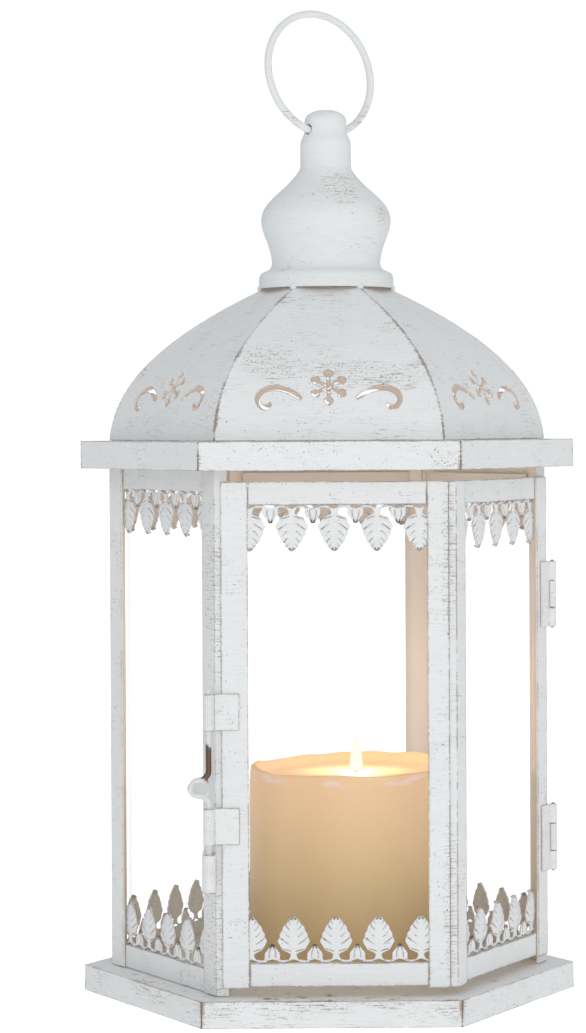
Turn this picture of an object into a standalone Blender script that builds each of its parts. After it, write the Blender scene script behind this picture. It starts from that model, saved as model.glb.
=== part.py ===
"""Hexagonal sheet-metal candle lantern, in metres, +Z up.

The origin is on the floor under the lantern's axis, and the front side faces -Y.
A hexagonal tray carries five bent corner posts with glazed sides between them.
A door spans two sides, front and front right, and swings on two butt hinges at the right
corner. A sliding wire bolt on its other edge drops into a keeper on the next post.
The roof is a rim, six pierced dome panels, a hollow spun finial and a wire ring.

Corners are numbered 0 to 5 clockwise from +X as seen from above, and side k lies between
corner k and corner k + 1. On a side, u runs to the right as seen from outside, depth runs
inwards from the posts' outer faces, and z is the height above the floor.
"""

import math

import bmesh
import bpy
from mathutils import Matrix, Vector

# Overall sizes
POST_RADIUS = 0.0800            # posts and foot of the dome, to a corner
BASE_LEDGE = 0.0100             # how far the tray's corners stand out past the posts
EAVE_LEDGE = 0.0105             # and the roof rim's corners
BASE_HEIGHT = 0.0093
EAVE_TOP = 0.2020
DOME_RISE = 0.0556              # from the rim's top to the dome's crown
GAP = 0.0003                    # between faces of separate pieces that meet

# Sheet work
TRAY_SHEET = 0.0008
TRAY_LIP = 0.0050               # folded in under the tray's skirt
RIM_SHEET = 0.0008
RIM_DEPTH = 0.0100
RIM_SHELF = 0.0160              # how far the flat top reaches in from the rim's edge
POST_SHEET = 0.0008
POST_LEG = 0.0090
POST_LEG_BY_HINGE = 0.0070      # the hinge post's leg behind the door
RAIL_SHEET = 0.0008
RAIL_BOTTOM_HEIGHT = 0.0080
RAIL_TOP_BELOW_EAVE = 0.0075    # what shows of a fixed top rail under the roof rim
PANE_THICKNESS = 0.0020
PANE_RAIL_LAP = 0.0060          # how far a pane reaches behind its rails
PANE_SIDE_LAP = 0.0020          # and behind the legs or stiles beside it

# Leaf strips
STRIP_SHEET = 0.0005
STRIP_RAIL_LAP = 0.0045
STRIP_SIDE_LAP = 0.0012
LEAF_PITCH = 0.01475
LEAF_LENGTH = 0.0156
LEAF_HALF_WIDTH = 0.0051
LEAF_STEM = 0.0011              # half of a stem's width
LEAF_NECK = 0.0014              # height of the band that shows beside the rail
LEAFLET_LENGTH = 0.0065
LEAFLET_HALF_WIDTH = 0.0022

# Dome
DOME_SHEET = 0.0007
DOME_CROWN_RADIUS = 0.0230
DOME_SHOULDER = (0.026, 0.335)  # control points of its curve, as shares of reach and rise
DOME_SHOULDER_TOP = (0.281, 0.655)
DOME_STEPS = 10
FLAKE_RADIUS = 0.0068
FLAKE_AT = 0.34                 # place of the pierced flake along the dome's curve, 0 to 1
SCROLL_WIDTH = 0.0018
CUTTER_DEPTH = 0.0120

# Finial and ring
FINIAL_SHEET = 0.0008
FLANGE_LAP = 0.0008             # of the flange outside the dome's crown
BULB_RADIUS = 0.0238
BULB_TOP = 0.0450               # from the finial's foot
NECK_RADIUS = 0.0093
NECK_LENGTH = 0.0080
CAP_RADIUS = 0.0077             # of the neck's narrower top, which the ring passes through
CAP_HEIGHT = 0.0127
FINIAL_SIDES = 28
NECK_HOLE_DROP = 0.0075         # of the ring's holes below the finial's top
NECK_HOLE_PLAY = 0.00065        # around the ring's wire
RING_RADIUS = 0.0227            # to the wire's centre
RING_WIRE = 0.00135
RING_YAW = math.radians(34)     # of the ring's pivot line from +X
RING_LEAN = math.radians(9.5)   # of the ring from upright, away from the front

# Door
DOOR_FOOT = 0.0125
DOOR_HEAD_CLEARANCE = 0.0040    # under the roof rim
DOOR_RAIL_INSET = 0.0006        # of each rail from the ends of its stiles
DOOR_RAIL_HEIGHT = 0.0080
DOOR_LATCH_STILE = 0.0093
DOOR_LATCH_REVEAL = 0.0023      # post left showing beside the latch stile
DOOR_MIDDLE_STILE = 0.0075
DOOR_CORNER_REVEAL = 0.0026     # corner leg left showing beside the middle stile
DOOR_CORNER_PROUD = 0.0040      # how far the door's corner stands past the hexagon's
DOOR_CORNER_LEG = 0.0072
DOOR_HINGE_STILE = 0.0081
DOOR_HINGE_SETBACK = 0.0010     # of the hinge stile's edge from the corner

# Hinges
PIN_OUT = 0.0027                # pin's centre outside the right corner
PIN_RADIUS = 0.0007
PIN_HEAD = 0.0006               # what stands out of the knuckles at each end
HINGE_SHEET = 0.0005
HINGE_LEAF = 0.0069
HINGE_HEIGHT = 0.0240
HINGE_MIDDLE_KNUCKLE = 0.0100
HINGE_INSET = 0.0310            # from the door's head and foot

# Latch
BOLT_RADIUS = 0.00100
BOLT_LEFT = 0.0022              # bolt's centre from the corner post's edge
BOLT_FORWARD = 0.0027
BOLT_UP = 0.0342                # bolt's ends above and below the handle
BOLT_DOWN = 0.0343
BOLT_BEND = 0.0025
HANDLE_HEIGHT = 0.0823          # above the floor
HANDLE_REACH = 0.0040           # to the centre of the handle's round end
HANDLE_RADIUS = 0.0024
HANDLE_TURN = math.radians(190)  # direction of the handle from +X
GUIDE_SHEET = 0.0005
GUIDE_HEIGHT = 0.0126
GUIDE_PLATE = 0.0061            # on the latch stile, from its outer edge
UPPER_GUIDE_RISE = 0.0261       # of the upper guide's middle above the handle
LOWER_GUIDE_DROP = 0.0135       # of the lower guide's middle below it
KEEPER_DROP = 0.0297            # of the keeper's middle below the handle
KEEPER_HEIGHT = 0.0131
KEEPER_PLAY = 0.0006            # more than the guides leave around the bolt
KEEPER_PLATE = 0.0080

# Candle
CANDLE_RADIUS = 0.0380
CANDLE_HEIGHT = 0.0755
CANDLE_AT = (0.0088, 0.0)
CANDLE_POOL_DEPTH = 0.0042
CANDLE_RIM = 0.0040
WICK_RADIUS = 0.0008
WICK_HEIGHT = 0.0060
CANDLE_SIDES = 40

# Rolled eyes of the hinges, guides and keeper
EYE_TOUCH = 15                  # degrees past level where a leaf meets its rolled eye
EYE_WRAP = 290
EYE_STEPS = 14

# Places that follow from the sizes above
APOTHEM = math.cos(math.pi / 6)
BASE_RADIUS = POST_RADIUS + BASE_LEDGE
EAVE_RADIUS = POST_RADIUS + EAVE_LEDGE
POST_FACE = POST_RADIUS * APOTHEM           # posts' outer faces, from the axis
POST_HEAD = EAVE_TOP - RIM_SHEET - GAP
DOOR_HEAD = EAVE_TOP - RIM_DEPTH - DOOR_HEAD_CLEARANCE
FIXED_RAIL_DEPTH = POST_SHEET + GAP
FIXED_STRIP_DEPTH = FIXED_RAIL_DEPTH + RAIL_SHEET + GAP
FIXED_PANE_DEPTH = FIXED_STRIP_DEPTH + STRIP_SHEET + GAP
DOME_REACH = POST_RADIUS - DOME_CROWN_RADIUS
CROWN_SLOPE = DOME_RISE * (1 - DOME_SHOULDER_TOP[1]) / DOME_REACH / (1 - DOME_SHOULDER_TOP[0])
FLANGE_RADIUS = DOME_CROWN_RADIUS + FLANGE_LAP + FINIAL_SHEET
FINIAL_FOOT = EAVE_TOP + DOME_RISE - FLANGE_LAP * CROWN_SLOPE + GAP
FINIAL_HEIGHT = BULB_TOP + NECK_LENGTH + CAP_HEIGHT
NECK_HOLE_RADIUS = RING_WIRE + NECK_HOLE_PLAY
RING_CENTRE = math.sqrt(RING_RADIUS ** 2 - CAP_RADIUS ** 2)
PIVOT_HEIGHT = FINIAL_FOOT + FINIAL_HEIGHT - NECK_HOLE_DROP
BOLT_AT = (-POST_RADIUS / 2 - BOLT_LEFT, -POST_FACE - BOLT_FORWARD)
FIXED_SIDES = {"front_left": 2, "back_left": 3, "back": 4, "back_right": 5}
ROOF_SIDES = {"front_right": 0, "front": 1, **FIXED_SIDES}
FIXED_POSTS = {"right": 0, "front_left": 2, "left": 3, "back_left": 4, "back_right": 5}


# Materials

def material(name, colour, roughness, metallic=0.0, transmission=0.0):
    """A Principled material of one plain colour."""
    made = bpy.data.materials.new(name)
    made.use_nodes = True
    shader = made.node_tree.nodes["Principled BSDF"]
    shader.inputs["Base Color"].default_value = (*colour, 1.0)
    shader.inputs["Roughness"].default_value = roughness
    shader.inputs["Metallic"].default_value = metallic
    shader.inputs["Transmission Weight"].default_value = transmission
    made.diffuse_color = (*colour, 1.0)
    return made


# Mesh tools: each returns a mesh, and put() makes the object

def put(name, mesh, place=(0.0, 0.0, 0.0), turn=(0.0, 0.0, 0.0), parent=None, paint=None):
    """Object of this mesh at a place in the world; a parent is an unturned empty."""
    made = bpy.data.objects.new(name, mesh)
    bpy.context.scene.collection.objects.link(made)
    made.location = Vector(place)
    if parent:
        made.parent = parent
        made.location = Vector(place) - parent.location
    made.rotation_euler = turn
    if paint and paint.name not in mesh.materials:
        mesh.materials.append(paint)
    return made


def pivot(name, place):
    """Empty on a joint's axis, which carries that joint's pieces."""
    made = bpy.data.objects.new(name, None)
    bpy.context.scene.collection.objects.link(made)
    made.location = place
    return made


def finished(bm, name, smooth=False):
    """The bmesh as a mesh with its faces pointing out."""
    bmesh.ops.remove_doubles(bm, verts=bm.verts, dist=1e-6)
    bmesh.ops.recalc_face_normals(bm, faces=bm.faces)
    mesh = bpy.data.meshes.new(name)
    bm.to_mesh(mesh)
    bm.free()
    if smooth:
        mesh.shade_smooth()
        mesh.set_sharp_from_angle(angle=math.radians(35))
    return mesh


def block(name, low, high):
    """Box between two corners."""
    low = Vector(low)
    high = Vector(high)
    bm = bmesh.new()
    bmesh.ops.create_cube(bm, size=1.0)
    bmesh.ops.scale(bm, verts=bm.verts, vec=high - low)
    bmesh.ops.translate(bm, verts=bm.verts, vec=(low + high) / 2)
    return finished(bm, name)


def prism(name, outline, along, smooth=False):
    """Solid made by pushing a flat outline of 3D points along a vector."""
    bm = bmesh.new()
    face = bm.faces.new([bm.verts.new(point) for point in outline])
    pushed = bmesh.ops.extrude_face_region(bm, geom=[face])["geom"]
    moved = [item for item in pushed if isinstance(item, bmesh.types.BMVert)]
    bmesh.ops.translate(bm, verts=moved, vec=along)
    return finished(bm, name, smooth)


def upright(name, outline, foot, height, smooth=False):
    """Prism standing on z = foot, from an outline of (x, y) points."""
    return prism(name, [(x, y, foot) for x, y in outline], (0, 0, height), smooth)


def turned(name, profile, steps, smooth=False):
    """Solid turned around Z from a closed profile of (radius, z) points."""
    bm = bmesh.new()
    points = [bm.verts.new((radius, 0, z)) for radius, z in profile]
    edges = [bm.edges.new(pair) for pair in zip(points, points[1:] + points[:1])
             if pair[0].co.x > 0 or pair[1].co.x > 0]
    bmesh.ops.spin(bm, geom=points + edges, axis=(0, 0, 1), cent=(0, 0, 0),
                   angle=2 * math.pi, steps=steps, use_merge=True)
    return finished(bm, name, smooth)


def cut(mesh, cutter_mesh, place=(0.0, 0.0, 0.0), turn=(0.0, 0.0, 0.0)):
    """The mesh with the cutter taken out of it."""
    blank = put(mesh.name + "_blank", mesh)
    cutter = put(mesh.name + "_cutter", cutter_mesh, place, turn)
    cutter.hide_render = True
    cutter.display_type = "WIRE"
    boolean = blank.modifiers.new("cut", "BOOLEAN")
    boolean.operation = "DIFFERENCE"
    boolean.solver = "EXACT"
    boolean.object = cutter
    graph = bpy.context.evaluated_depsgraph_get()
    made = bpy.data.meshes.new_from_object(blank.evaluated_get(graph))
    made.name = mesh.name
    bpy.data.objects.remove(blank)
    bpy.data.objects.remove(cutter)
    return made


def bezier(points, t):
    """Point of the cubic curve on four control points."""
    a, b, c, d = (Vector(point) for point in points)
    s = 1 - t
    return a * s ** 3 + b * 3 * t * s ** 2 + c * 3 * t ** 2 * s + d * t ** 3


def smooth_path(points, steps):
    """Catmull-Rom curve through 2D or 3D points, with steps pieces for each stretch."""
    knots = [Vector(point) for point in points]
    knots = [2 * knots[0] - knots[1]] + knots + [2 * knots[-1] - knots[-2]]
    path = []
    for before, start, end, after in zip(knots, knots[1:], knots[2:], knots[3:]):
        for step in range(steps):
            t = step / steps
            path.append(0.5 * (2 * start + (end - before) * t
                               + (2 * before - 5 * start + 4 * end - after) * t ** 2
                               + (3 * start - before - 3 * end + after) * t ** 3))
    return path + [knots[-2]]


def arc(centre, radius, start, end, steps):
    """Points on an arc in degrees, both ends included."""
    angles = [math.radians(start + (end - start) * step / steps) for step in range(steps + 1)]
    return [Vector((centre[0] + radius * math.cos(a), centre[1] + radius * math.sin(a)))
            for a in angles]


def ribbon(path, widths):
    """Outline of a band that follows a 2D path; widths is one number or one for each point."""
    if isinstance(widths, float):
        widths = [widths] * len(path)
    left = []
    right = []
    for index, point in enumerate(path):
        before = path[max(index - 1, 0)]
        after = path[min(index + 1, len(path) - 1)]
        into = (point - before).normalized() if index else (after - point).normalized()
        out = (after - point).normalized() if index < len(path) - 1 else into
        bisector = (into + out).normalized()
        side = Vector((-bisector.y, bisector.x))
        reach = widths[index] / 2 / max(bisector.dot(into), 0.5)
        left.append(point + side * reach)
        right.append(point - side * reach)
    return left + right[::-1]


# Sides and corners

def corner(number, radius):
    """Corner of a hexagon, in plan."""
    angle = -number * math.pi / 3
    return Vector((radius * math.cos(angle), radius * math.sin(angle)))


class Side:
    """One flat side in plan: its middle, its direction to the right and its turn."""

    def __init__(self, left, right):
        self.left = Vector(left)
        self.right = Vector(right)
        self.half = (self.right - self.left).length / 2
        self.along = (self.right - self.left).normalized()
        self.inwards = Vector((-self.along.y, self.along.x))
        self.middle = (self.left + self.right) / 2
        self.turn = (0.0, 0.0, math.atan2(self.along.y, self.along.x))
        self.place = (self.middle.x, self.middle.y, 0.0)

    def at(self, u, depth):
        """Plan point at u along the side and depth behind its face."""
        return self.middle + self.along * u + self.inwards * depth

    def local(self, point):
        """(u, depth) of a plan point."""
        offset = Vector(point) - self.middle
        return Vector((offset.dot(self.along), offset.dot(self.inwards)))


def hexagon_side(number, radius=POST_RADIUS):
    """Side of a regular hexagon; its left end, seen from outside, is the later corner."""
    return Side(corner(number + 1, radius), corner(number, radius))


def bent_section(point, first, second, first_leg, second_leg, sheet):
    """Outline of a bent strip with its outer edge at a point and its legs along two ways."""
    towards = first + second
    sine = abs(first.x * second.y - first.y * second.x)
    inner = point + towards * (sheet / sine)
    first_in = second - first * first.dot(second)
    second_in = first - second * first.dot(second)
    first_end = point + first * first_leg
    second_end = point + second * second_leg
    return [first_end, point, second_end, second_end + second_in.normalized() * sheet,
            inner, first_end + first_in.normalized() * sheet]


# Frame

def build_base(paint):
    """Shallow upturned tray: flat floor, skirt, and a lip folded in under it."""
    foot_inner = BASE_RADIUS - TRAY_LIP / APOTHEM
    skirt_inner = BASE_RADIUS - TRAY_SHEET / APOTHEM
    profile = [(0, BASE_HEIGHT), (BASE_RADIUS, BASE_HEIGHT), (BASE_RADIUS, 0), (foot_inner, 0),
               (foot_inner, TRAY_SHEET), (skirt_inner, TRAY_SHEET),
               (skirt_inner, BASE_HEIGHT - TRAY_SHEET), (0, BASE_HEIGHT - TRAY_SHEET)]
    put("base_tray", turned("base_tray", profile, 6), paint=paint)


def build_posts(paint):
    """Five corner posts bent to the hexagon's angle; the door's corner has none."""
    foot = BASE_HEIGHT + GAP
    for name, number in FIXED_POSTS.items():
        edge = corner(number, POST_RADIUS)
        to_next = (corner(number + 1, POST_RADIUS) - edge).normalized()
        to_last = (corner(number - 1, POST_RADIUS) - edge).normalized()
        door_leg = POST_LEG_BY_HINGE if number == 0 else POST_LEG
        outline = bent_section(edge, to_next, to_last, door_leg, POST_LEG, POST_SHEET)
        mesh = upright("post", outline, foot, POST_HEAD - foot)
        put("post_" + name, mesh, paint=paint)


def leaf_outline():
    """(u, drop) points of one leaf on its stem, from left to right."""
    right = [(LEAF_STEM, LEAF_NECK), (LEAF_STEM, 0.18 * LEAF_LENGTH),
             (0.72 * LEAF_HALF_WIDTH, 0.27 * LEAF_LENGTH), (LEAF_HALF_WIDTH, 0.45 * LEAF_LENGTH),
             (0.84 * LEAF_HALF_WIDTH, 0.66 * LEAF_LENGTH),
             (0.45 * LEAF_HALF_WIDTH, 0.87 * LEAF_LENGTH)]
    return [(-u, drop) for u, drop in right] + [(0.0, LEAF_LENGTH)] + right[::-1]


def leaflet_outline():
    """(u, drop) points of the small bud between two leaves, from left to right."""
    right = [(LEAF_STEM, LEAF_NECK), (LEAFLET_HALF_WIDTH, 0.62 * LEAFLET_LENGTH)]
    return [(-u, drop) for u, drop in right] + [(0.0, LEAFLET_LENGTH)] + right[::-1]


def leaf_strip(width, upwards):
    """Stamped strip of leaves hanging from z = 0, or standing on it, its band behind a rail.

    A leaf or bud is left out where its stem would lie past the strip's end.
    """
    sign = 1 if upwards else -1
    last = math.floor((width / 2 - LEAF_STEM) / LEAF_PITCH * 2)
    tips = [(-width / 2, LEAF_NECK)]
    for index in range(-last, last + 1):
        shape = leaflet_outline() if index % 2 else leaf_outline()
        tips += [(index * LEAF_PITCH / 2 + u, drop) for u, drop in shape]
    tips.append((width / 2, LEAF_NECK))
    outline = [(u, 0, sign * drop) for u, drop in tips]
    outline += [(width / 2, 0, -sign * STRIP_RAIL_LAP), (-width / 2, 0, -sign * STRIP_RAIL_LAP)]
    mesh = prism("leaf_strip", outline, (0, STRIP_SHEET, 0))
    bm = bmesh.new()
    bm.from_mesh(mesh)
    for way in (-1, 1):
        bmesh.ops.triangulate(bm, faces=bm.faces)
        geometry = bm.verts[:] + bm.edges[:] + bm.faces[:]
        bmesh.ops.bisect_plane(bm, geom=geometry, plane_co=(way * width / 2, 0, 0),
                               plane_no=(way, 0, 0), clear_outer=True)
        open_edges = [edge for edge in bm.edges if edge.is_boundary]
        bmesh.ops.holes_fill(bm, edges=open_edges, sides=0)
    bmesh.ops.dissolve_limit(bm, angle_limit=0.01, verts=bm.verts, edges=bm.edges)
    return finished(bm, mesh.name)


def glaze(side, suffix, window, rails, sill, head, depth, finishes, parent=None, prefix=""):
    """Strips and pane of one window; rails are the heights behind which they reach."""
    low, high = window
    middle = (low + high) / 2
    strip_width = high - low + 2 * STRIP_SIDE_LAP
    strip_depth, pane_depth = depth
    for name, z, upwards in (("top", head, False), ("bottom", sill, True)):
        mesh = leaf_strip(strip_width, upwards)
        spot = side.at(middle, strip_depth)
        put(f"{prefix}leaf_strip_{name}_{suffix}", mesh, (spot.x, spot.y, z), side.turn, parent,
            finishes["strip"])
    foot = sill - min(PANE_RAIL_LAP, rails[0])
    top = head + min(PANE_RAIL_LAP, rails[1])
    mesh = block("pane", (low - PANE_SIDE_LAP, pane_depth, foot),
                 (high + PANE_SIDE_LAP, pane_depth + PANE_THICKNESS, top))
    put(f"{prefix}pane_{suffix}", mesh, side.place, side.turn, parent, finishes["glass"])


def build_fixed_sides(finishes):
    """Four sides that don't open: two rails behind the posts' legs, a pane and two strips."""
    sill = BASE_HEIGHT + GAP + RAIL_BOTTOM_HEIGHT
    head = EAVE_TOP - RIM_DEPTH - RAIL_TOP_BELOW_EAVE
    for name, number in FIXED_SIDES.items():
        side = hexagon_side(number)
        reach = side.half - (FIXED_RAIL_DEPTH + RAIL_SHEET + GAP) / APOTHEM
        for level, low, high in (("bottom", BASE_HEIGHT + GAP, sill), ("top", head, POST_HEAD)):
            mesh = block("rail", (-reach, FIXED_RAIL_DEPTH, low),
                         (reach, FIXED_RAIL_DEPTH + RAIL_SHEET, high))
            put(f"rail_{level}_{name}", mesh, side.place, side.turn, paint=finishes["paint"])
        window = (-side.half + POST_LEG, side.half - POST_LEG)
        rails = (sill - BASE_HEIGHT - GAP, POST_HEAD - head)
        glaze(side, name, window, rails, sill, head, (FIXED_STRIP_DEPTH, FIXED_PANE_DEPTH),
              finishes)


# Roof

def dome_curve(t):
    """(radius to a corner, z) of the dome's outer face, from the rim (0) to the crown (1)."""
    shares = [(0.0, 0.0), DOME_SHOULDER, DOME_SHOULDER_TOP, (1.0, 1.0)]
    return bezier([(POST_RADIUS - inwards * DOME_REACH, EAVE_TOP + GAP + up * (DOME_RISE - GAP))
                   for inwards, up in shares], t)


def scroll_outline(way):
    """C-scroll beside the flake, on the right (1) or the left (-1), in the panel's plane."""
    spine = [(0.0100, -0.0040), (0.0138, -0.0014), (0.0183, 0.0004), (0.0218, -0.0002),
             (0.0244, -0.0025), (0.0247, -0.0054), (0.0228, -0.0072), (0.0208, -0.0066)]
    path = smooth_path([(way * x, y) for x, y in spine], 2)
    ends = (0.75, 0.85, 0.95)
    widths = [SCROLL_WIDTH] * (len(path) - 6)
    widths = [SCROLL_WIDTH * share for share in ends] + widths
    widths += [SCROLL_WIDTH * share for share in ends[::-1]]
    return ribbon(path, widths)


def flake_outline():
    """Six arms with pointed buds."""
    arm = [(0.16, -30), (0.58, -5), (0.74, -17), (1.00, 0), (0.74, 17), (0.58, 5)]
    points = []
    for number in range(6):
        for share, lean in arm:
            angle = math.radians(90 + 60 * number + lean)
            reach = share * FLAKE_RADIUS
            points.append(Vector((reach * math.cos(angle), reach * math.sin(angle))))
    return points


def roof_panel():
    """One curved dome panel with its pierced flake and scrolls, facing -Y."""
    steps = [dome_curve(step / DOME_STEPS) for step in range(DOME_STEPS + 1)]
    face = [Vector((radius * APOTHEM, z)) for radius, z in steps]
    bm = bmesh.new()
    rows = []
    for index, point in enumerate(face):
        ahead = face[min(index + 1, DOME_STEPS)] - face[max(index - 1, 0)]
        normal = Vector((ahead.y, -ahead.x)).normalized()
        row = []
        for layer in (0.0, DOME_SHEET):
            inset = point - normal * layer
            half = inset.x * math.tan(math.pi / 6) - GAP / 2 / APOTHEM
            row.append([bm.verts.new((way * half, -inset.x, inset.y)) for way in (-1, 1)])
        rows.append([row[0][0], row[0][1], row[1][1], row[1][0]])
    for first, second in zip(rows, rows[1:]):
        for index in range(4):
            following = (index + 1) % 4
            bm.faces.new([first[index], first[following], second[following], second[index]])
    bm.faces.new(rows[0])
    bm.faces.new(rows[-1])
    blank = finished(bm, "roof_panel", smooth=True)

    centre = dome_curve(FLAKE_AT)
    ahead = dome_curve(FLAKE_AT + 0.02) - dome_curve(FLAKE_AT - 0.02)
    slope = math.atan2(-ahead.x * APOTHEM, ahead.y)
    cutters = bmesh.new()
    for outline in (scroll_outline(-1), flake_outline(), scroll_outline(1)):
        flat = [(x, -CUTTER_DEPTH / 2, y) for x, y in outline]
        cutters.from_mesh(prism("cut_out", flat, (0, CUTTER_DEPTH, 0)))
    cutter = finished(cutters, "cut_outs")
    return cut(blank, cutter, (0, -centre.x * APOTHEM, centre.y), (-slope, 0, 0))


def build_roof(paint):
    """Rim, dome panels, finial and the holes that its ring runs in."""
    shelf_inner = EAVE_RADIUS - RIM_SHELF / APOTHEM
    fascia_inner = EAVE_RADIUS - RIM_SHEET / APOTHEM
    profile = [(shelf_inner, EAVE_TOP), (EAVE_RADIUS, EAVE_TOP),
               (EAVE_RADIUS, EAVE_TOP - RIM_DEPTH), (fascia_inner, EAVE_TOP - RIM_DEPTH),
               (fascia_inner, EAVE_TOP - RIM_SHEET), (shelf_inner, EAVE_TOP - RIM_SHEET)]
    put("eave_rim", turned("eave_rim", profile, 6), paint=paint)
    panel = roof_panel()
    for name, number in ROOF_SIDES.items():
        turn = (0.0, 0.0, (1 - number) * math.pi / 3)
        put("roof_panel_" + name, panel, turn=turn, paint=paint)


def finial_profile():
    """Closed (radius, height) loop of the spun sheet: outer face down, then inner face up."""
    cap = [(0.0, 1.00), (0.45 * CAP_RADIUS, 0.96), (0.83 * CAP_RADIUS, 0.84),
           (CAP_RADIUS, 0.65), (CAP_RADIUS, 0.36), (0.96 * NECK_RADIUS, 0.15), (NECK_RADIUS, 0.0)]
    bulb = [(NECK_RADIUS, 1.00), (0.60 * BULB_RADIUS, 0.836), (0.87 * BULB_RADIUS, 0.704),
            (BULB_RADIUS, 0.533), (0.90 * BULB_RADIUS, 0.371), (0.836 * BULB_RADIUS, 0.231),
            (0.885 * BULB_RADIUS, 0.156)]
    flange = [(0.97 * FLANGE_RADIUS, 0.127), (FLANGE_RADIUS, 0.089), (FLANGE_RADIUS, 0.0)]
    cap_foot = BULB_TOP + NECK_LENGTH
    points = [Vector((radius, cap_foot + share * CAP_HEIGHT)) for radius, share in cap]
    points += smooth_path([(radius, share * BULB_TOP) for radius, share in bulb], 2)
    points += [Vector((radius, share * BULB_TOP)) for radius, share in flange]
    inner = []
    for index, point in enumerate(points):
        before = points[max(index - 1, 0)]
        after = points[min(index + 1, len(points) - 1)]
        ahead = (after - before).normalized()
        inner.append(point + Vector((ahead.y, -ahead.x)) * FINIAL_SHEET)
    inner[0].x = 0.0
    inner[-1].y = 0.0
    return points + inner[::-1]


def build_finial_and_ring(paint):
    """Hollow finial open at its foot, and the ring that hangs in two holes of its neck."""
    blank = turned("finial", finial_profile(), FINIAL_SIDES, smooth=True)
    bm = bmesh.new()
    bmesh.ops.create_cone(bm, cap_ends=True, segments=16, radius1=NECK_HOLE_RADIUS,
                          radius2=NECK_HOLE_RADIUS, depth=4 * NECK_RADIUS,
                          matrix=Matrix.Rotation(math.pi / 2, 4, "Y"))
    drill = finished(bm, "neck_holes")
    mesh = cut(blank, drill, (0, 0, FINIAL_HEIGHT - NECK_HOLE_DROP), (0, 0, RING_YAW))
    put("finial", mesh, (0, 0, FINIAL_FOOT), paint=paint)

    axis = pivot("ring_pivot", (0, 0, PIVOT_HEIGHT))
    bm = bmesh.new()
    bmesh.ops.create_circle(bm, segments=10, radius=RING_WIRE,
                            matrix=Matrix.Translation((RING_RADIUS, 0, 0)))
    bmesh.ops.spin(bm, geom=bm.verts[:] + bm.edges[:], axis=(0, 1, 0), cent=(0, 0, 0),
                   angle=2 * math.pi, steps=44, use_merge=True)
    bmesh.ops.translate(bm, verts=bm.verts, vec=(0, 0, RING_CENTRE))
    ring = finished(bm, "hanging_ring", smooth=True)
    put("hanging_ring", ring, axis.location, (-RING_LEAN, 0, RING_YAW), axis, paint)


# Door

def door_sides():
    """The door's front side and its right side, which meet at a corner of its own."""
    front = hexagon_side(1)
    own_corner = corner(1, POST_RADIUS) + Vector((DOOR_CORNER_PROUD, 0))
    fixed = hexagon_side(0)
    hinge_edge = fixed.at(fixed.half - DOOR_HINGE_SETBACK, -(POST_SHEET + GAP))
    return front, Side(own_corner, hinge_edge)


def build_door(finishes, parent):
    """Front frame of flat strips, a bent corner post behind its edge, and the right side."""
    paint = finishes["paint"]
    front, right = door_sides()
    face = -(POST_SHEET + GAP)
    corner_u = front.local(right.left).x
    latch_edge = -front.half + DOOR_LATCH_REVEAL
    middle_edge = corner_u - DOOR_CORNER_REVEAL
    window = (latch_edge + DOOR_LATCH_STILE, middle_edge - DOOR_MIDDLE_STILE)
    side_window = (-right.half + DOOR_CORNER_LEG, right.half - DOOR_HINGE_STILE)

    stiles = {"latch": (front, latch_edge, window[0], face),
              "middle": (front, window[1], middle_edge, face),
              "hinge": (right, side_window[1], right.half, 0.0)}
    for name, (side, low, high, depth) in stiles.items():
        mesh = block("stile", (low, depth, DOOR_FOOT), (high, depth + POST_SHEET, DOOR_HEAD))
        put(f"door_{name}_stile", mesh, side.place, side.turn, parent, paint)

    hidden_leg = DOOR_MIDDLE_STILE - STRIP_SIDE_LAP - GAP
    outline = bent_section(right.left, -front.along, right.along,
                           DOOR_CORNER_REVEAL + hidden_leg, DOOR_CORNER_LEG, POST_SHEET)
    mesh = upright("door_corner_post", outline, DOOR_FOOT, DOOR_HEAD - DOOR_FOOT)
    put("door_corner_post", mesh, parent=parent, paint=paint)

    sill = DOOR_FOOT + DOOR_RAIL_INSET + DOOR_RAIL_HEIGHT
    head = DOOR_HEAD - DOOR_RAIL_HEIGHT
    levels = {"bottom": (DOOR_FOOT + DOOR_RAIL_INSET, sill), "top": (head, DOOR_HEAD)}
    spans = {"front": (front, window[0] + GAP, window[1] - GAP, face),
             "side": (right, side_window[0] - DOOR_CORNER_LEG / 2,
                      side_window[1] + STRIP_SIDE_LAP, FIXED_RAIL_DEPTH)}
    for suffix, (side, low, high, depth) in spans.items():
        for level, (foot, top) in levels.items():
            mesh = block("rail", (low, depth, foot), (high, depth + RAIL_SHEET, top))
            put(f"door_rail_{level}_{suffix}", mesh, side.place, side.turn, parent, paint)

    rails = (DOOR_RAIL_HEIGHT, DOOR_RAIL_HEIGHT)
    glaze(front, "front", window, rails, sill, head, (0.0, POST_SHEET + GAP), finishes, parent,
          "door_")
    glaze(right, "side", side_window, rails, sill, head,
          (FIXED_STRIP_DEPTH, FIXED_PANE_DEPTH), finishes, parent, "door_")


# Hinges and latch

def eye_strip(start, centre, radius, depth, sheet):
    """Outline of a flat leaf at a depth that starts at u = start and ends in a rolled eye.

    The leaf bends outwards beside the eye and rolls over its outer face.
    """
    way = 1 if start > centre.x else -1
    lean = math.radians(EYE_TOUCH)
    touch = centre + Vector((way * math.cos(lean), -math.sin(lean))) * radius
    bend = Vector((touch.x + way * (depth - touch.y) * math.tan(lean), depth))
    first = -EYE_TOUCH if way == 1 else 180 + EYE_TOUCH
    eye = arc(centre, radius, first, first - way * EYE_WRAP, EYE_STEPS)
    return ribbon([Vector((start, depth)), bend] + eye, sheet)


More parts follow.
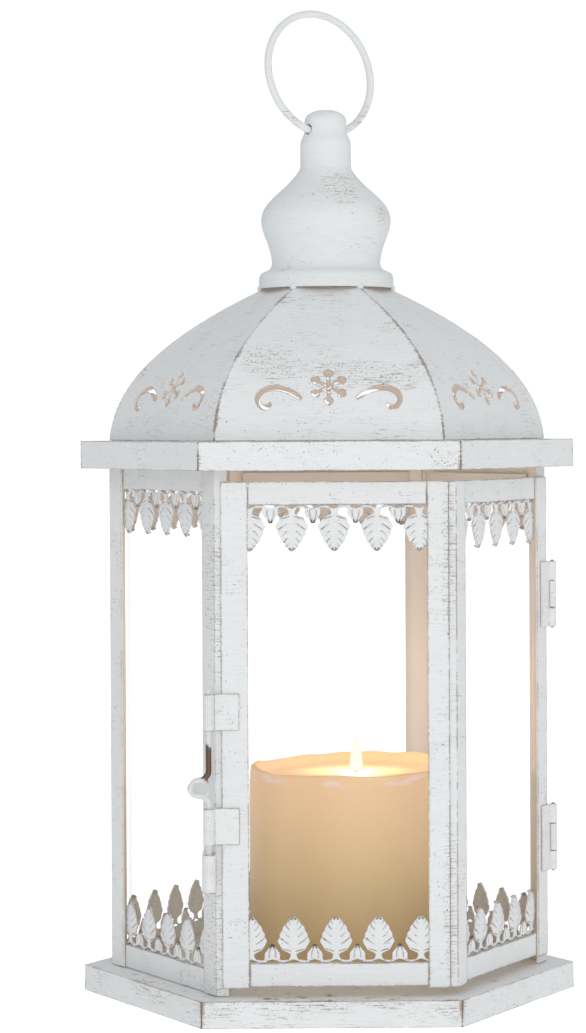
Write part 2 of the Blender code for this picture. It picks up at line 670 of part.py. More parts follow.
def knuckles_left(mesh, centre, reach, spans):
    """The leaf without its rolled eye over the given spans of height."""
    for foot, top in spans:
        low = (centre.x - reach, centre.y - reach, foot)
        high = (centre.x + reach, centre.y + reach, top)
        mesh = cut(mesh, block("notch", low, high))
    return mesh


def build_hinges(paint, bright, parent):
    """Two butt hinges: the door leaf has the outer knuckles, the frame leaf the middle one."""
    plane = -(GAP + HINGE_SHEET / 2)
    eye = PIN_RADIUS + GAP + HINGE_SHEET / 2
    reach = eye + HINGE_SHEET / 2 + GAP
    shoulder = (HINGE_HEIGHT - HINGE_MIDDLE_KNUCKLE) / 2
    middle = (shoulder - GAP / 2, HINGE_HEIGHT - shoulder + GAP / 2)
    outer = ((-GAP, shoulder + GAP / 2), (HINGE_HEIGHT - shoulder - GAP / 2, HINGE_HEIGHT + GAP))
    pin_at = Vector((POST_RADIUS + PIN_OUT, 0))
    leaves = {"door_leaf": (door_sides()[1], -1, (middle,), parent),
              "frame_leaf": (hexagon_side(5), 1, outer, None)}
    feet = {"upper": DOOR_HEAD - HINGE_INSET - HINGE_HEIGHT, "lower": DOOR_FOOT + HINGE_INSET}
    for level, foot in feet.items():
        for name, (side, way, spans, carrier) in leaves.items():
            centre = side.local(pin_at)
            outline = eye_strip(centre.x + way * (HINGE_LEAF + eye), centre, eye, plane,
                                HINGE_SHEET)
            mesh = upright("leaf", outline, 0, HINGE_HEIGHT, smooth=True)
            mesh = knuckles_left(mesh, centre, reach, spans)
            place = (side.place[0], side.place[1], foot)
            put(f"hinge_{level}_{name}", mesh, place, side.turn, carrier, paint)
        bevel = PIN_RADIUS / 2
        profile = [(0, -PIN_HEAD), (bevel, -PIN_HEAD), (PIN_RADIUS, -PIN_HEAD + bevel),
                   (PIN_RADIUS, HINGE_HEIGHT + PIN_HEAD - bevel),
                   (bevel, HINGE_HEIGHT + PIN_HEAD), (0, HINGE_HEIGHT + PIN_HEAD)]
        mesh = turned("pin", profile, 12, smooth=True)
        put(f"hinge_{level}_pin", mesh, (*pin_at, foot), parent=parent, paint=bright)


def build_latch(paint, parent):
    """Wire bolt in two strap guides on the door, and the keeper on the front left post."""
    front = hexagon_side(1)
    bolt_at = front.local(BOLT_AT)
    face = -(POST_SHEET + GAP)
    eye = BOLT_RADIUS + GAP + GUIDE_SHEET / 2
    plane = face - GAP - GUIDE_SHEET / 2
    start = -front.half + DOOR_LATCH_REVEAL + GUIDE_PLATE
    outline = eye_strip(start, bolt_at, eye, plane, GUIDE_SHEET)
    for name, rise in (("upper", UPPER_GUIDE_RISE), ("lower", -LOWER_GUIDE_DROP)):
        foot = HANDLE_HEIGHT + rise - GUIDE_HEIGHT / 2
        mesh = upright("guide", outline, 0, GUIDE_HEIGHT, smooth=True)
        put(f"latch_guide_{name}", mesh, (front.place[0], front.place[1], foot), front.turn,
            parent, paint)

    side = hexagon_side(2)
    centre = side.local(BOLT_AT)
    plane = -(GAP + GUIDE_SHEET / 2)
    outline = eye_strip(side.half - KEEPER_PLATE, centre, eye + KEEPER_PLAY, plane, GUIDE_SHEET)
    mesh = upright("keeper", outline, 0, KEEPER_HEIGHT, smooth=True)
    foot = HANDLE_HEIGHT - KEEPER_DROP - KEEPER_HEIGHT / 2
    put("latch_keeper", mesh, (side.place[0], side.place[1], foot), side.turn, paint=paint)

    high = HANDLE_RADIUS + BOLT_BEND
    bends = [(0.0, BOLT_UP), *arc((BOLT_BEND, high), BOLT_BEND, 180, 270, 5),
             *arc((HANDLE_REACH, 0.0), HANDLE_RADIUS, 90, -90, 8),
             *arc((BOLT_BEND, -high), BOLT_BEND, 90, 180, 5), (0.0, -BOLT_DOWN)]
    curve = bpy.data.curves.new("bolt", "CURVE")
    curve.dimensions = "3D"
    curve.bevel_depth = BOLT_RADIUS
    curve.bevel_resolution = 3
    curve.use_fill_caps = True
    spline = curve.splines.new("POLY")
    spline.points.add(len(bends) - 1)
    for point, (reach, height) in zip(spline.points, bends):
        point.co = (reach, 0.0, height, 1.0)
    lift = pivot("bolt_slide", (*BOLT_AT, HANDLE_HEIGHT))
    lift.parent = parent
    lift.location = lift.location - parent.location
    made = bpy.data.objects.new("latch_bolt", curve)
    bpy.context.scene.collection.objects.link(made)
    made.parent = lift
    made.rotation_euler = (0.0, 0.0, HANDLE_TURN)
    curve.materials.append(paint)


def build_candle(wax):
    """Pillar candle with a dished top and its wick, standing on the tray's floor."""
    top = CANDLE_HEIGHT
    pool = top - CANDLE_POOL_DEPTH
    profile = [(0, 0), (CANDLE_RADIUS - 0.001, 0), (CANDLE_RADIUS, 0.001),
               (CANDLE_RADIUS, top - 0.001), (CANDLE_RADIUS - 0.001, top),
               (CANDLE_RADIUS - CANDLE_RIM / 2, top), (CANDLE_RADIUS - CANDLE_RIM, top - 0.0008),
               (CANDLE_RADIUS - 2 * CANDLE_RIM, pool + 0.0006),
               (CANDLE_RADIUS - 3 * CANDLE_RIM, pool), (WICK_RADIUS, pool),
               (WICK_RADIUS, pool + WICK_HEIGHT), (0, pool + WICK_HEIGHT)]
    mesh = turned("candle", profile, CANDLE_SIDES, smooth=True)
    put("candle", mesh, (*CANDLE_AT, BASE_HEIGHT + GAP), paint=wax)


def build():
    """The whole lantern, with its door shut and latched."""
    for old in list(bpy.data.objects):
        bpy.data.objects.remove(old)
    finishes = {"paint": material("distressed_paint", (0.80, 0.81, 0.80), 0.55),
                "strip": material("stamped_leaves", (0.78, 0.78, 0.76), 0.60),
                "glass": material("pane_glass", (0.93, 0.96, 0.94), 0.03, transmission=1.0)}
    steel = material("hinge_pin_steel", (0.60, 0.60, 0.60), 0.40, metallic=1.0)
    wax = material("candle_wax", (0.90, 0.72, 0.50), 0.45)
    build_base(finishes["paint"])
    build_posts(finishes["paint"])
    build_fixed_sides(finishes)
    build_roof(finishes["paint"])
    build_finial_and_ring(finishes["paint"])
    hinge_axis = pivot("door_pivot", (POST_RADIUS + PIN_OUT, 0.0, DOOR_FOOT))
    build_door(finishes, hinge_axis)
    build_hinges(finishes["paint"], steel, hinge_axis)
    build_latch(finishes["paint"], hinge_axis)
    build_candle(wax)


build()
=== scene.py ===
"""A hexagonal candle lantern of painted sheet metal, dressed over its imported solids.

The front side faces -Y, the door's hinges are at +X and the lantern stands on z = 0.
"""
import math

import bmesh
import bpy
from mathutils import Matrix, Vector, noise


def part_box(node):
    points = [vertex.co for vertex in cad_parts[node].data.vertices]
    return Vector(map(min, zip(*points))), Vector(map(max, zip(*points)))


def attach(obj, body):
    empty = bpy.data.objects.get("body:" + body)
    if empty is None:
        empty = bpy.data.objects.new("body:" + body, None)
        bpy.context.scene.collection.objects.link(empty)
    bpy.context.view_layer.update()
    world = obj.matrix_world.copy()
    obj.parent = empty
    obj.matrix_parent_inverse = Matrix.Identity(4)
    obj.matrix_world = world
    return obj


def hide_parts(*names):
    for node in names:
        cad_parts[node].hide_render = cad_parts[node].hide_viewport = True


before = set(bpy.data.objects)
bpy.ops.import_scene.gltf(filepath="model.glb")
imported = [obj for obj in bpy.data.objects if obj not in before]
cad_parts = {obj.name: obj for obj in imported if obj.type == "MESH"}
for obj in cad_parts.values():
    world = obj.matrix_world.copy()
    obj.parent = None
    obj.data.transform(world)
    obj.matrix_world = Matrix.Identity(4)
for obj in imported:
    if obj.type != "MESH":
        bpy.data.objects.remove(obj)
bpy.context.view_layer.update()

# Painted frame
#
# Tray, rim, posts and rails are folded from thin sheet and spot welded. They are brushed white
# on the outside and rubbed back, so that brown shows in the brush marks and along every folded
# or cut edge. Faces turned inwards are coloured a warm tan.

# Warm tan of the faces turned inwards
INWARD_TAN = (0.90, 0.825, 0.76)
WHITE = (0.84, 0.855, 0.86)
RUST = (0.17, 0.095, 0.055)


class Socket:
    """A shader output that Python's arithmetic adds Math nodes to."""

    def __init__(self, tree, output):
        self.tree = tree
        self.output = output

    def math(self, operation, *values, clamp=False):
        maths = self.tree.nodes.new("ShaderNodeMath")
        maths.operation = operation
        maths.use_clamp = clamp
        for entry, value in zip(maths.inputs, (self, *values)):
            join(entry, value)
        return Socket(self.tree, maths.outputs[0])

    def __add__(self, other):
        return self.math("ADD", other)

    def __sub__(self, other):
        return self.math("SUBTRACT", other)

    def __mul__(self, other):
        return self.math("MULTIPLY", other)

    def __truediv__(self, other):
        return self.math("DIVIDE", other)

    def __rsub__(self, other):
        return self.math("MULTIPLY", -1.0).math("ADD", other)

    __radd__ = __add__
    __rmul__ = __mul__

    def step(self, low, high):
        """0 below low and 1 above high, with a smooth ramp between; low may be the higher."""
        ramp = self.tree.nodes.new("ShaderNodeMapRange")
        ramp.interpolation_type = "SMOOTHSTEP"
        for entry, value in zip(ramp.inputs, (self, low, high)):
            join(entry, value)
        return Socket(self.tree, ramp.outputs[0])


def join(entry, value):
    """Gives a node's input a fixed value or the output of another node."""
    if isinstance(value, Socket):
        value.tree.links.new(value.output, entry)
    elif isinstance(value, tuple) and len(value) == 3 and entry.type == "RGBA":
        entry.default_value = (*value, 1.0)
    else:
        entry.default_value = value


class Finish:
    """A material on a Principled shader, with the nodes that its patterns are made of."""

    def __init__(self, name, **constants):
        self.material = bpy.data.materials.new(name)
        self.material.use_nodes = True
        self.tree = self.material.node_tree
        self.shader = self.tree.nodes["Principled BSDF"]
        for entry, value in constants.items():
            join(self.shader.inputs[entry.replace("_", " ")], value)
        self.place = self.node("ShaderNodeTexCoord", output="Object")

    def node(self, kind, settings=None, sockets=None, output=0):
        made = self.tree.nodes.new(kind)
        for setting, value in (settings or {}).items():
            setattr(made, setting, value)
        for entry, value in (sockets or {}).items():
            join(made.inputs[entry], value)
        return Socket(self.tree, made.outputs[output])

    def vector(self, operation, first, second=(0.0, 0.0, 0.0), output=0):
        return self.node("ShaderNodeVectorMath", {"operation": operation},
                         {0: first, 1: second}, output)

    def axes(self, vector):
        """The three parts of a vector."""
        return [self.node("ShaderNodeSeparateXYZ", None, {0: vector}, part) for part in "XYZ"]

    def noise(self, scale, stretch=(1.0, 1.0, 1.0), detail=3.0, rough=0.55, offset=0.0):
        """Noise over the piece, 0 to 1; scale is in features for each metre."""
        place = self.vector("MULTIPLY_ADD", self.place, stretch)
        place.output.node.inputs[2].default_value = (offset, 0.37 * offset, 0.71 * offset)
        return self.node("ShaderNodeTexNoise", None,
                         {"Vector": place, "Scale": scale, "Detail": detail,
                          "Roughness": rough})

    def blend(self, factor, first, second):
        """A colour between two colours."""
        return self.node("ShaderNodeMix", {"data_type": "RGBA"},
                         {0: factor, 6: first, 7: second}, 2)

    def bump(self, height, distance, strength=1.0, normal=None):
        sockets = {"Height": height, "Distance": distance, "Strength": strength}
        if normal:
            sockets["Normal"] = normal
        return self.node("ShaderNodeBump", None, sockets)

    def feed(self, **links):
        for entry, value in links.items():
            join(self.shader.inputs[entry.replace("_", " ")], value)


def brushed_white(name, streaks=0.5, specks=0.5, wear=0.5, centre=None, seams=False, offset=0.0,
                  bevel=0.0006, rubbed=(), relief=False, inward_tan=True, calm=0.0):
    """Rubbed white paint, with a warm tan on faces turned inwards.

    The tan shows where a face turns from the outside, towards the lantern's axis or, with
    a centre height, towards that point on the axis. Seams run up the six corners. Each rubbed
    place is a centre, a radius and a half height. Calm makes marks fewer away from those, and
    relief takes painted shade for the low places from the piece's own attribute.
    """
    paint = Finish(name, Specular_IOR_Level=0.35)
    normal = paint.node("ShaderNodeTexCoord", output="Normal")
    flat = paint.vector("MULTIPLY", paint.place, (1.0, 1.0, 0.0))
    outwards = flat
    if centre is not None:
        outwards = paint.vector("SUBTRACT", paint.place, (0.0, 0.0, centre))
    outwards = paint.vector("NORMALIZE", outwards)
    facing = paint.vector("DOT_PRODUCT", normal, outwards, "Value")
    inside = 0.0
    # Faces turned inwards take the warm tan
    if inward_tan:
        inside = facing.step(-0.05, -0.45) if centre is None else facing.step(0.35, 0.05)

    # How the paint is spread, from broad patches down to single dots
    cloud = paint.noise(28.0, offset=offset)
    patch = paint.noise(70.0, (1.0, 1.0, 1.6), 3.0, 0.6, offset + 3.1) - calm
    grain = paint.noise(190.0, (1.0, 1.0, 13.0), 4.0, 0.65, offset + 5.0)
    dash = paint.noise(620.0, (1.0, 1.0, 2.6), 2.0, 0.6, offset + 7.0)
    dots = paint.noise(1500.0, (1.0, 1.0, 1.3), 1.0, 0.5, offset + 9.0)
    for middle, radius, height in rubbed:
        away = paint.vector("SUBTRACT", paint.place, middle)
        away = paint.vector("MULTIPLY", away, (1.0, 1.0, radius / height))
        rub = paint.vector("LENGTH", away, output="Value").step(radius, 0.30 * radius)
        patch = patch + rub * 0.28
        grain = grain + rub * 0.05
        dots = dots + rub * 0.03

    # Brown in the brush marks, in clusters of specks, and in stray dots
    streak = grain.step(0.61 - 0.05 * streaks, 0.72) * patch.step(0.58 - 0.16 * streaks, 0.66)
    streak = streak * (0.40 + 0.60 * dash.step(0.40, 0.58)) * (0.45 + 0.5 * streaks)
    speck = dots.step(0.685 - 0.02 * specks, 0.735) * patch.step(0.58 - 0.14 * specks, 0.64)
    speck = speck.math("MAXIMUM", dash.step(0.66, 0.72) * patch.step(0.60 - 0.10 * specks, 0.66))
    stray = dots.step(0.755 - 0.02 * specks, 0.785) * 0.8

    # Paint rubbed off where a face bends into the next one
    rounded = paint.node("ShaderNodeBevel", {"samples": 4}, {"Radius": bevel})
    plain = paint.node("ShaderNodeNewGeometry", output="Normal")
    bend = 1.0 - paint.vector("DOT_PRODUCT", rounded, plain, "Value")
    rough_edge = (patch * 0.7 + dash * 0.5).step(0.70 - 0.16 * wear, 0.78 - 0.12 * wear)
    chip = bend.step(0.004, 0.06) * rough_edge

    shade = cloud.step(0.3, 0.7) * 0.10 + grain.step(0.42, 0.62) * 0.16
    white = paint.blend(shade, WHITE, (0.62, 0.632, 0.63))
    tan = paint.blend(cloud.step(0.35, 0.75) * 0.6, INWARD_TAN, (0.80, 0.73, 0.67))
    brown = paint.blend(dash.step(0.45, 0.65), RUST, (0.30, 0.19, 0.125))
    colour = paint.blend(inside, white, tan)
    worn = streak.math("MAXIMUM", speck * 0.85).math("MAXIMUM", stray).math("MAXIMUM", chip)
    if seams:
        x, y, _ = paint.axes(paint.place)
        turn = y.math("ARCTAN2", x) / (math.pi / 3)
        reach = paint.vector("LENGTH", flat, output="Value")
        off = (turn - turn.math("ROUND")).math("ABSOLUTE") * (math.pi / 3) * reach
        upright = facing.step(0.3, 0.7)
        seam = off.step(0.00050, 0.00018) * (patch * 0.6 + dash * 0.5).step(0.46, 0.58)
        rubbing = off.step(0.0014, 0.0004) * (patch * 0.6 + dash * 0.9).step(0.80, 0.92)
        worn = worn.math("MAXIMUM", seam * upright * 0.95)
        worn = worn.math("MAXIMUM", rubbing * upright * 0.8)
    if relief:
        # Painted shade in the low places of the stamped relief, read from the piece's attribute
        low = paint.node("ShaderNodeAttribute", {"attribute_name": "recess_shade"}, output="Fac")
        worn = worn.math("MAXIMUM", (low * (0.5 + dash)).step(0.30, 0.85) * 0.88)
    worn = worn.math("MULTIPLY", 1.0 - inside * 0.75, clamp=True)
    colour = paint.blend(worn, colour, brown)

    height = grain * 0.6 + dash * 0.25 - worn * 0.9
    soft = paint.bump(height, 0.00012, 0.55, rounded)
    paint.feed(Base_Color=colour, Roughness=0.46 + 0.14 * grain + worn * 0.20, Normal=soft)
    return paint.material


def paint_nodes(names, material):
    """Gives CAD nodes this finish."""
    for name in names:
        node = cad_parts[name]
        node.data.materials.clear()
        node.data.materials.append(material)


def matching(*starts):
    return [name for name in sorted(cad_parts) if name.startswith(starts)]


rim_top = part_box("eave_rim")[1].z
tray_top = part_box("base_tray")[1].z
FRONT = -0.078                  # y of the tray's and the rim's front
tray_wear = [((-0.040, FRONT, tray_top), 0.016, 0.008), ((-0.010, FRONT, tray_top), 0.022, 0.008),
             ((0.020, FRONT, tray_top), 0.014, 0.005), ((0.043, FRONT, tray_top), 0.008, 0.012),
             ((-0.070, -0.050, tray_top), 0.025, 0.010)]
tray_paint = brushed_white("tray_paint", 1.0, 0.7, 1.0, seams=True, rubbed=tray_wear)
paint_nodes(["base_tray"], tray_paint)
rim_wear = [((0.040, FRONT, rim_top - 0.009), 0.010, 0.008),
            ((0.002, FRONT, rim_top - 0.014), 0.012, 0.007)]
rim_paint = brushed_white("rim_paint", 0.6, 0.9, 1.0, seams=True, offset=2.0, rubbed=rim_wear)
paint_nodes(["eave_rim"], rim_paint)
post_wear = [((-0.0400, -0.0693, 0.030), 0.010, 0.030),
             ((-0.0400, -0.0693, 0.150), 0.010, 0.040)]
post_paint = brushed_white("post_paint", 0.5, 0.9, 0.9, offset=4.0, rubbed=post_wear)
paint_nodes([name for name in matching("post_") if name != "post_front_left"], post_paint)
paint_nodes(matching("rail_"), brushed_white("rail_paint", 0.8, 0.4, 0.4, offset=6.0))

# Door frame
#
# Flat strips cut from the same sheet, butted at the corners and spot welded; the corner
# between the door's two sides is one bent strip behind the front frame. Handling has rubbed
# the paint off the long edge beside that corner.

paint_nodes(matching("door_latch_stile", "door_rail"),
            brushed_white("door_paint", 0.4, 0.45, 1.1, offset=8.0, bevel=0.0008))
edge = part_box("door_middle_stile")[1]
corner_wear = [((edge.x, edge.y, 0.165), 0.0035, 0.050),
               ((edge.x, edge.y, 0.040), 0.0035, 0.045)]
corner_paint = brushed_white("door_corner_paint", 0.8, 1.0, 1.2, offset=11.0, bevel=0.0009,
                             rubbed=corner_wear)
paint_nodes(["door_middle_stile", "door_corner_post", "door_hinge_stile"], corner_paint)

# Dome panels
#
# Six gores of thin sheet, rolled to one curve, pierced with a flake between two scrolls and
# welded edge to edge from inside. The warm tan of inward faces shows in the cut edges and
# through the holes.

GORE_SHEET = 0.0007
GORE_SEAM = 0.00026             # from a gore's edge to the corner plane
GORE_ROWS = 30
GORE_COLUMNS = 14
APOTHEM = math.cos(math.pi / 6)  # of a hexagon with corners at 1
CROWN_RADIUS = 0.0230
FLAKE_RADIUS = 0.0071
FLAKE_UP = 0.34                 # share of the way up a gore's curve
SCROLL_WIDTH = 0.0017
PUNCH_REACH = 0.006             # of the hole tools, to each side of the sheet
dome_low, dome_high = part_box("roof_panel_front")
dome_foot = -dome_low.y / APOTHEM


def along_curve(t):
    """(distance out to a gore's face, height) from the rim, 0, to the crown, 1."""
    rise = dome_high.z - dome_low.z
    reach = dome_foot - CROWN_RADIUS
    out = [dome_foot, dome_foot - 0.026 * reach, dome_foot - 0.281 * reach, CROWN_RADIUS]
    up = [0.0, 0.335 * rise, 0.655 * rise, rise]
    weights = [(1 - t) ** 3, 3 * t * (1 - t) ** 2, 3 * t * t * (1 - t), t ** 3]
    return Vector((sum(w * r for w, r in zip(weights, out)) * APOTHEM,
                   dome_low.z + sum(w * h for w, h in zip(weights, up))))


gore_wear = [((-0.020, -0.060, rim_top + 0.028), 0.016, 0.010),
             ((0.004, -0.064, rim_top + 0.024), 0.016, 0.010),
             ((0.024, -0.062, rim_top + 0.022), 0.014, 0.008)]
panel_paint = brushed_white("dome_paint", 0.85, 0.9, 1.0, centre=rim_top - 0.03, seams=True,
                            offset=13.0, rubbed=gore_wear)


def smooth_loop(points, steps, closed=True):
    """Catmull-Rom curve through plane points."""
    knots = [Vector(point) for point in points]
    if closed:
        knots = [knots[-1], *knots, knots[0], knots[1]]
    else:
        knots = [2 * knots[0] - knots[1], *knots, 2 * knots[-1] - knots[-2]]
    path = []
    for before, start, end, after in zip(knots, knots[1:], knots[2:], knots[3:]):
        for step in range(steps):
            t = step / steps
            path.append(0.5 * (2 * start + (end - before) * t
                               + (2 * before - 5 * start + 4 * end - after) * t ** 2
                               + (3 * start - before - 3 * end + after) * t ** 3))
    return path if closed else path + [knots[-2]]


def band(path, widths):
    """Outline of a flat strip along a path, with a width for each of its points."""
    left, right = [], []
    for index, point in enumerate(path):
        ahead = (path[min(index + 1, len(path) - 1)] - path[max(index - 1, 0)]).normalized()
        side = Vector((-ahead.y, ahead.x)) * widths[index] / 2
        left.append(point + side)
        right.append(point - side)
    return left + right[::-1]


def flake(radius):
    """Six thin arms that end in heart-shaped heads; the upright arms are the longer ones."""
    arm = [(0.13, -30), (0.40, -10), (0.62, -6), (0.66, -15), (0.78, -17), (0.90, -10), (1.00, 0),
           (0.90, 10), (0.78, 17), (0.66, 15), (0.62, 6), (0.40, 10)]
    points = []
    for number in range(6):
        longer = 1.0 if number % 3 == 0 else 0.97
        for share, lean in arm:
            angle = math.radians(90 + 60 * number + lean)
            points.append(Vector((math.cos(angle), math.sin(angle))) * share * radius * longer)
    return smooth_loop(points, 2)


def scroll(way):
    """C-scroll with a blunt inner end and a small curl at its outer end."""
    spine = [(0.0096, -0.0048), (0.0120, -0.0028), (0.0156, -0.0010), (0.0196, -0.0004),
             (0.0232, -0.0018), (0.0248, -0.0046), (0.0238, -0.0072), (0.0214, -0.0078),
             (0.0202, -0.0064)]
    path = smooth_loop([(way * u, v) for u, v in spine], 4, closed=False)
    widths = []
    for index in range(len(path)):
        t = index / (len(path) - 1)
        swell = 1.0 + 0.22 * math.sin(math.pi * min(1.0, t / 0.8)) ** 2
        widths.append(SCROLL_WIDTH * swell * min(1.0, 0.62 + 6 * t, 0.55 + 4 * (1 - t)))
    return band(path, widths)


def extruded(bm, outline, along):
    """Adds a flat outline, pushed along a vector, as a closed solid."""
    face = bm.faces.new([bm.verts.new(point) for point in outline])
    grown = bmesh.ops.extrude_face_region(bm, geom=[face])["geom"]
    moved = [part for part in grown if isinstance(part, bmesh.types.BMVert)]
    bmesh.ops.translate(bm, verts=moved, vec=along)


def as_mesh(bm, name, smooth=35):
    """The bmesh as a mesh that is shaded smooth up to an angle in degrees."""
    bmesh.ops.recalc_face_normals(bm, faces=bm.faces)
    mesh = bpy.data.meshes.new(name)
    bm.to_mesh(mesh)
    bm.free()
    if smooth:
        mesh.shade_smooth()
        mesh.set_sharp_from_angle(angle=math.radians(smooth))
    return mesh


def placed(name, data):
    """An object in the scene that shows this mesh, curve, light or camera."""
    made = bpy.data.objects.new(name, data)
    bpy.context.scene.collection.objects.link(made)
    return made


def finished_mesh(made):
    """The mesh that an object's modifiers or its curve make; the object is removed."""
    graph = bpy.context.evaluated_depsgraph_get()
    mesh = bpy.data.meshes.new_from_object(made.evaluated_get(graph))
    bpy.data.objects.remove(made)
    return mesh


def piece(name, mesh, material, body, replaced=()):
    """Puts a mesh in the scene, in its finish, on its body."""
    made = placed(name, mesh)
    mesh.materials.clear()
    mesh.materials.append(material)
    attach(made, body)
    if replaced:
        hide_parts(*replaced)
    return made


def pierced(mesh, cutter):
    """The mesh with another taken out of it."""
    blank = placed("blank", mesh)
    tool = placed("tool", cutter)
    cut = blank.modifiers.new("cut", "BOOLEAN")
    cut.operation = "DIFFERENCE"
    cut.solver = "EXACT"
    cut.object = tool
    made = finished_mesh(blank)
    bpy.data.objects.remove(tool)
    return made


bm = bmesh.new()
bmesh.ops.create_grid(bm, x_segments=GORE_COLUMNS, y_segments=GORE_ROWS, size=0.5)
for vert in bm.verts:
    spot = along_curve(vert.co.y + 0.5)
    half = spot.x * math.tan(math.pi / 6) - GORE_SEAM / APOTHEM
    vert.co = (vert.co.x * 2 * half, -spot.x, spot.y)
bmesh.ops.recalc_face_normals(bm, faces=bm.faces)
if bm.faces[:][0].normal.y > 0:
    bmesh.ops.reverse_faces(bm, faces=bm.faces)
bmesh.ops.solidify(bm, geom=bm.faces[:], thickness=GORE_SHEET)
gore = as_mesh(bm, "gore")

flake_place = along_curve(FLAKE_UP)
ahead = along_curve(FLAKE_UP + 0.02) - along_curve(FLAKE_UP - 0.02)
tilt = math.atan2(-ahead.x, ahead.y)
bm = bmesh.new()
for outline in (scroll(-1), flake(FLAKE_RADIUS), scroll(1)):
    extruded(bm, [(u, -PUNCH_REACH, v) for u, v in outline], (0.0, 2 * PUNCH_REACH, 0.0))
bmesh.ops.rotate(bm, verts=bm.verts, matrix=Matrix.Rotation(-tilt, 3, "X"))
bmesh.ops.translate(bm, verts=bm.verts, vec=(0.0, -flake_place.x, flake_place.y))
gore = pierced(gore, as_mesh(bm, "holes", smooth=0))
for number, side in enumerate(("front_right", "front", "front_left", "back_left", "back",
                               "back_right")):
    mesh = gore.copy()
    mesh.transform(Matrix.Rotation((1 - number) * math.pi / 3, 4, "Z"))
    piece("dome_panel_" + side, mesh, panel_paint, "lantern",
          ["roof_panel_" + side])


# Front left post
#
# The post that the latch closes against is bent from the same sheet. Its front leg ends just
# behind the door's edge, and its side leg runs back along the left front side.

POST_SHEET = 0.0008
FRONT_LEG = 0.0045
SIDE_LEG = 0.0090
POST_ROUNDING = 0.0002
low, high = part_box("post_front_left")
edge = Vector((low.y / APOTHEM / 2, low.y))
along = Vector((-0.5, APOTHEM))  # back along the left front side
into = Vector((APOTHEM, 0.5))    # from that side towards the axis
inner = edge + Vector((POST_SHEET * math.tan(math.pi / 6), POST_SHEET))
outline = [edge + Vector((FRONT_LEG, 0)), edge, edge + along * SIDE_LEG,
           edge + along * SIDE_LEG + into * POST_SHEET, inner,
           edge + Vector((FRONT_LEG, POST_SHEET))]
bm = bmesh.new()
extruded(bm, [(u, v, low.z) for u, v in outline], (0, 0, high.z - low.z))
bmesh.ops.bevel(bm, geom=bm.edges[:], affect="EDGES", offset=POST_ROUNDING, segments=2,
                profile=0.5, material=-1)
piece("bent_post_front_left", as_mesh(bm, "bent_post_front_left"), post_paint, "lantern",
      ["post_front_left"])

# Finial and ring
#
# The finial is spun from one disc: a flange, a bulb and a neck with a closed cap. It is tacked
# to the gores with small welds. The ring is bent wire, hung through two holes in the neck.

finial_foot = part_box("finial")[0].z
RING_YAW = math.radians(34.0)
RING_LEAN = math.radians(9.5)
RING_RADIUS = 0.0227
RING_WIRE = 0.00135
NECK_HOLE = 0.0020
PIVOT = 0.315726                # height of the ring's swing axis
FINIAL_WALL = 0.0008
WELD = 0.0013

finial_wear = [((0.0050, -0.0150, finial_foot + 0.0375), 0.015, 0.014),
               ((0.0200, -0.0120, finial_foot + 0.0260), 0.009, 0.006),
               ((-0.016, -0.014, finial_foot + 0.007), 0.007, 0.004)]
finial_paint = brushed_white("finial_paint", 0.9, 0.8, 0.6, offset=17.0, rubbed=finial_wear,
                             calm=0.12)
outer = [(0.0246, 0.0), (0.0247, 0.0020), (0.0246, 0.0042), (0.0239, 0.0056), (0.0222, 0.0064),
         (0.0207, 0.0072), (0.0200, 0.0088), (0.0200, 0.0106), (0.0206, 0.0138),
         (0.0218, 0.0174), (0.0231, 0.0210), (0.0238, 0.0240), (0.0236, 0.0268),
         (0.0226, 0.0295), (0.0207, 0.0320), (0.0180, 0.0347), (0.0146, 0.0377),
         (0.0117, 0.0408), (0.0098, 0.0434), (0.0093, 0.0456), (0.0093, 0.0520),
         (0.0090, 0.0544), (0.0080, 0.0566), (0.0076, 0.0590), (0.0077, 0.0615),
         (0.0070, 0.0634), (0.0052, 0.0647), (0.0028, 0.0655), (0.0, 0.0657)]


def spun(profile, steps=72, wall=0.0):
    """The surface that a (radius, height) profile sweeps about the axis, with a wall inside."""
    bm = bmesh.new()
    verts = [bm.verts.new((r, 0.0, h)) for r, h in profile]
    edges = [bm.edges.new(pair) for pair in zip(verts, verts[1:])]
    bmesh.ops.spin(bm, geom=verts + edges, axis=(0, 0, 1), cent=(0, 0, 0), angle=2 * math.pi,
                   steps=steps, use_merge=True)
    bmesh.ops.remove_doubles(bm, verts=bm.verts, dist=1e-6)
    bmesh.ops.recalc_face_normals(bm, faces=bm.faces)
    if wall:
        bmesh.ops.solidify(bm, geom=bm.faces[:], thickness=wall)
    return bm


bm = spun([(max(0.0, r), h) for r, h in smooth_loop(outer, 2, closed=False)], wall=FINIAL_WALL)
shell = as_mesh(bm, "finial_shell", smooth=50)
bm = bmesh.new()
bmesh.ops.create_cone(bm, cap_ends=True, segments=24, radius1=NECK_HOLE, radius2=NECK_HOLE,
                      depth=0.04, matrix=Matrix.Rotation(math.pi / 2, 4, "Y"))
bmesh.ops.rotate(bm, verts=bm.verts, matrix=Matrix.Rotation(RING_YAW, 3, "Z"))
bmesh.ops.translate(bm, verts=bm.verts, vec=(0, 0, PIVOT - finial_foot))
shell = pierced(shell, as_mesh(bm, "neck_holes", smooth=0))
shell.transform(Matrix.Translation((0, 0, finial_foot)))
piece("spun_finial", shell, finial_paint, "lantern", ["finial"])

bm = bmesh.new()
for number in range(6):
    bmesh.ops.create_icosphere(bm, subdivisions=2, radius=WELD, matrix=(
        Matrix.Rotation(number * math.pi / 3, 4, "Z")
        @ Matrix.Translation((outer[0][0] - 0.0004, 0, finial_foot))))
piece("flange_welds", as_mesh(bm, "flange_welds", smooth=60), finial_paint, "lantern")

